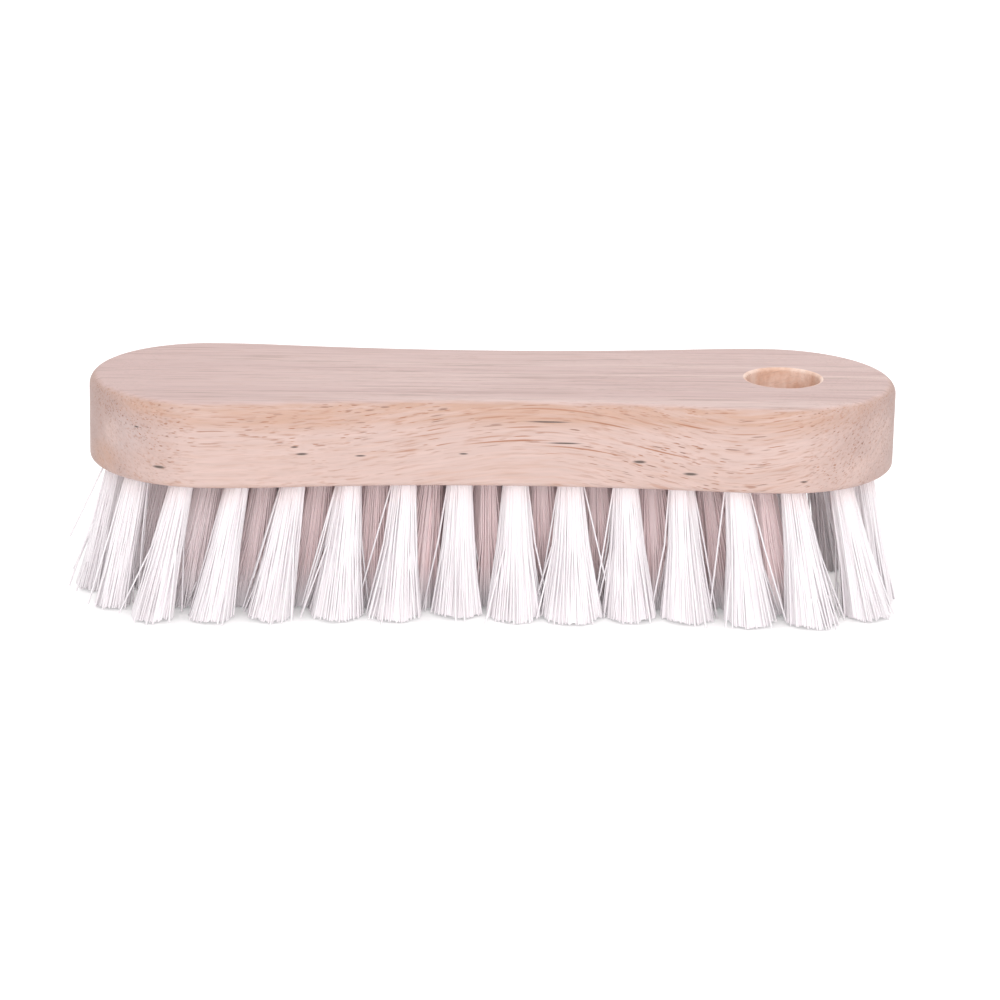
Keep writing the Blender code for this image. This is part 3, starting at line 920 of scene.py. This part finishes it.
class BRUSH_OT_bristles(bpy.types.Operator):
    """Models the strands of every tuft, row by row, in place of the packed tufts"""

    bl_idname = "cleaning_brush.bristles"
    bl_label = "Bristles"

    def execute(self, context):
        sizes = context.scene.brush_bristles
        look = context.scene.brush_bristle_look
        outer, inner = bristle_material(look), bristle_material(look, inner=True)
        radius, core_radius = sizes.strand_radius, sizes.bundle_radius * sizes.core_share
        core_rings = -0.2, -0.4, -0.6, -0.8
        stalks = (
            stalk_mesh("strand", radius, 5, 0, -1, (-0.5,)),
            stalk_mesh("tip_strand", radius, 5, -0.8, -1),
            stalk_mesh("core", core_radius, 36, 0, -sizes.core_length, core_rings),
        )
        rng = random.Random(SEED)
        for row, nodes in TUFT_ROWS.items():
            a_tuft = sizes.strands + sizes.tip_strands + 1
            cells = cells_of(len(nodes) * a_tuft + len(STRAYS))
            whole = bmesh.new()
            for index, node in enumerate(nodes):
                root, tips = root_and_tips(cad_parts[node])
                towards_end = min(1, abs(root.x) / (BLOCK_SIZE.x / 2 - RING_INSET)) ** 2
                narrowing = (sizes.end_spread - sizes.middle_spread) * towards_end
                spread = sizes.middle_spread + narrowing
                sway = Vector((rng.gauss(0, sizes.sway), rng.gauss(0, sizes.sway)))
                if row == "edge_tuft" and index < len(FRONT_TUFTS):
                    sway.x, spread = FRONT_TUFTS[index]
                lean = tips - root + sway
                tuft = tuft_mesh(node, root, lean, spread, stalks, sizes, cells, rng)
                whole.from_mesh(tuft)
                bpy.data.meshes.remove(tuft)
            mesh = mesh_of(whole, f"{row}_strands")
            # The inner rows take the copy with the painted rosy shade all along
            mesh.materials.append(outer if row == "edge_tuft" else inner)
            mesh.shade_smooth()
            mesh.set_sharp_from_angle(angle=math.radians(80))
            bristles = finished_object(f"{row}_bristles", mesh)
            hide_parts(*nodes)
        for stalk in stalks:
            bpy.data.meshes.remove(stalk)
        return {"FINISHED"}


class BRUSH_OT_stage(bpy.types.Operator):
    """Lays the white floor and sets the even light, the soft lamps and the camera"""

    bl_idname = "cleaning_brush.stage"
    bl_label = "Stage"

    def execute(self, context):
        scene, settings = context.scene, context.scene.brush_stage
        self.lay_floor(scene, settings)
        self.light_sky(scene, settings)
        self.hang_lamp(scene, "soft_front_lamp", settings.key, 60, (0.03, -1, 0.28))
        self.hang_lamp(scene, "soft_overhead_lamp", settings.overhead, 80, (0.1, 0.3, 1))
        self.set_camera(scene, settings)
        scene.view_settings.view_transform = "Standard"
        return {"FINISHED"}

    def lay_floor(self, scene, settings):
        """A matt white floor that glows a little where it is seen, so that it looks white."""
        material, tree, shader = new_material("white_floor")
        shader.inputs["Base Color"].default_value = (*settings.floor, 1)
        shader.inputs["Roughness"].default_value = 0.9
        shader.inputs["Specular IOR Level"].default_value = 0
        brightness = times(tree, seen_directly(tree), settings.glow)
        glow = {"Color": (1, 1, 1, 1), "Strength": brightness}
        glow = add_node(tree, "ShaderNodeEmission", glow).outputs[0]
        both = add_node(tree, "ShaderNodeAddShader", {0: shader.outputs[0], 1: glow})
        tree.links.new(both.outputs[0], tree.nodes["Material Output"].inputs["Surface"])
        bm = bmesh.new()
        bmesh.ops.create_grid(bm, x_segments=1, y_segments=1, size=6)
        mesh = mesh_of(bm, "floor")
        mesh.materials.append(material)
        floor = bpy.data.objects.new("floor", mesh)
        scene.collection.objects.link(floor)
        floor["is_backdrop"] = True

    def light_sky(self, scene, settings):
        """An even white light all round, which is pure white where it is seen."""
        world = bpy.data.worlds.new("even_light")
        world.use_nodes = True
        tree = world.node_tree
        sky = tree.nodes["Background"]
        sky.inputs["Color"].default_value = (1, 1, 1, 1)
        brightness = ranged(tree, seen_directly(tree), 0, 1, settings.sky, 1)
        tree.links.new(brightness, sky.inputs["Strength"])
        scene.world = world

    def hang_lamp(self, scene, name, energy, spread, towards):
        """A wide sun, spread over this many degrees, that shines from this direction."""
        lamp = bpy.data.lights.new(name, "SUN")
        lamp.energy = energy
        lamp.angle = math.radians(spread)
        holder = bpy.data.objects.new(name, lamp)
        holder.rotation_euler = Vector(towards).to_track_quat("Z", "Y").to_euler()
        scene.collection.objects.link(holder)

    def set_camera(self, scene, settings):
        """The camera, turned round and above the brush, which looks at a point below the wood."""
        lens = bpy.data.cameras.new("camera")
        lens.lens, lens.sensor_width = settings.lens, 36
        camera = bpy.data.objects.new("camera", lens)
        level = math.cos(settings.elevation)
        back = Vector((math.sin(settings.azimuth) * level, -math.cos(settings.azimuth) * level,
                       math.sin(settings.elevation)))
        aim = Vector((settings.aim_x, 0, UNDERSIDE_Z - settings.aim_below))
        camera.location = aim + settings.distance * back
        camera.rotation_mode = "QUATERNION"
        roll = Quaternion((0, 0, 1), settings.roll)
        camera.rotation_quaternion = back.to_track_quat("Z", "Y") @ roll
        scene.collection.objects.link(camera)
        scene.camera = camera


class BRUSH_PT_panel(bpy.types.Panel):
    """Sizes, colours and steps of the cleaning brush"""

    bl_idname = "BRUSH_PT_panel"
    bl_label = "Cleaning Brush"
    bl_space_type = "VIEW_3D"
    bl_region_type = "UI"
    bl_category = "Cleaning Brush"

    def draw(self, context):
        for operator in OPERATORS:
            self.layout.operator(operator.bl_idname)
        for name, group in GROUPS.items():
            box = self.layout.box()
            box.label(text=group.__doc__)
            for setting in group.__annotations__:
                box.prop(getattr(context.scene, name), setting)


GROUPS = {
    "brush_block": BrushBlockSizes,
    "brush_bristles": BrushBristleSizes,
    "brush_wood": BrushWoodLook,
    "brush_bristle_look": BrushBristleLook,
    "brush_stage": BrushStageSettings,
}
OPERATORS = (BRUSH_OT_wooden_block, BRUSH_OT_bristles, BRUSH_OT_stage)


def register():
    for name, group in GROUPS.items():
        bpy.utils.register_class(group)
        setattr(bpy.types.Scene, name, PointerProperty(type=group))
    for cls in (*OPERATORS, BRUSH_PT_panel):
        bpy.utils.register_class(cls)


def unregister():
    for cls in (BRUSH_PT_panel, *reversed(OPERATORS)):
        bpy.utils.unregister_class(cls)
    for name, group in reversed(GROUPS.items()):
        delattr(bpy.types.Scene, name)
        bpy.utils.unregister_class(group)


def main():
    register()
    bpy.ops.cleaning_brush.wooden_block()
    bpy.ops.cleaning_brush.bristles()
    bpy.ops.cleaning_brush.stage()
    boxes = {"cad": CAD_BOX, "visual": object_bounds()}
    {name: [list(map(float, corner)) for corner in box] for name, box in boxes.items()}


if __name__ == "__main__":
    main()
